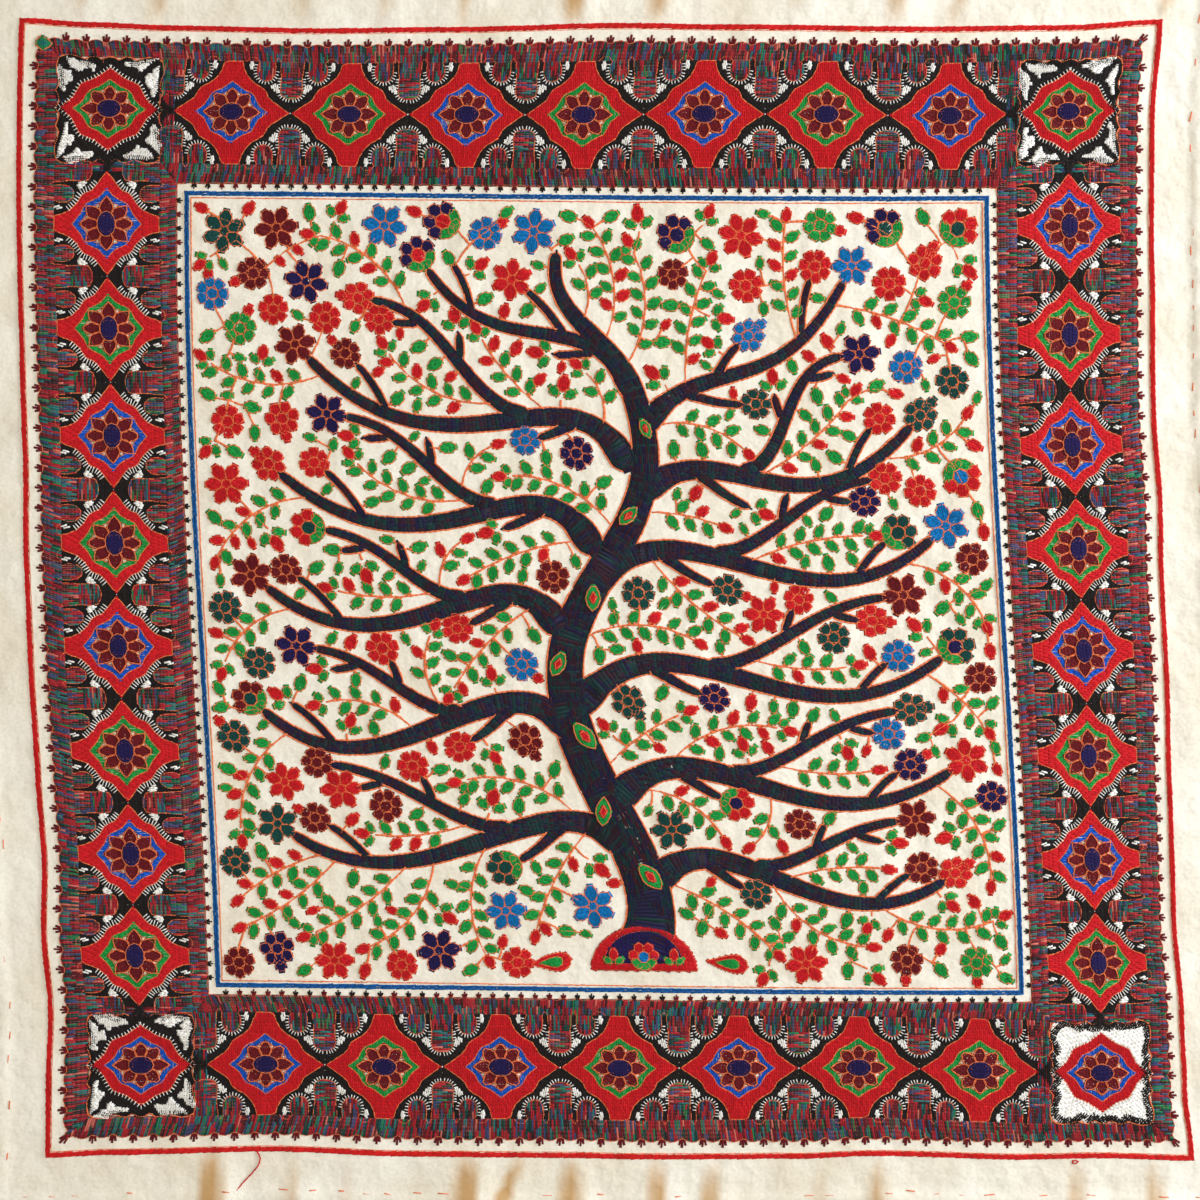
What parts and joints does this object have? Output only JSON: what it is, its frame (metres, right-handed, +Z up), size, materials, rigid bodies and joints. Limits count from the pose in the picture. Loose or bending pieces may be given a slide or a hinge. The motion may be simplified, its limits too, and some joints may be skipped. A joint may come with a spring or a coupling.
{
  "type": "bordered suzani-style needlework panel",
  "caption": "Square wool cloth stitched all over in yarn, a border of linked medallions round a branching flower tree, with a plain hemmed margin rippled at head and foot, laid flat.",
  "frame": {"origin": "middle of the cloth's underside, on the surface that it lies on", "axes": "+Z up out of the stitched face, +Y towards the head of the panel, +X towards its right side"},
  "size_m": [1.027, 0.9994, 0.0085],
  "materials": {
    "cream_wool": "soft matt wool twill",
    "red_yarn": "matt wool yarn",
    "border_yarn": "matt wool yarn, many colours",
    "dark_yarn": "matt wool yarn",
    "blue_yarn": "matt wool yarn",
    "green_yarn": "matt wool yarn",
    "orange_yarn": "matt wool yarn",
    "white_yarn": "matt wool yarn"
  },
  "bodies": {
    "root": {"embroidered_panel": "cream_wool"}
  },
  "joints": []
}
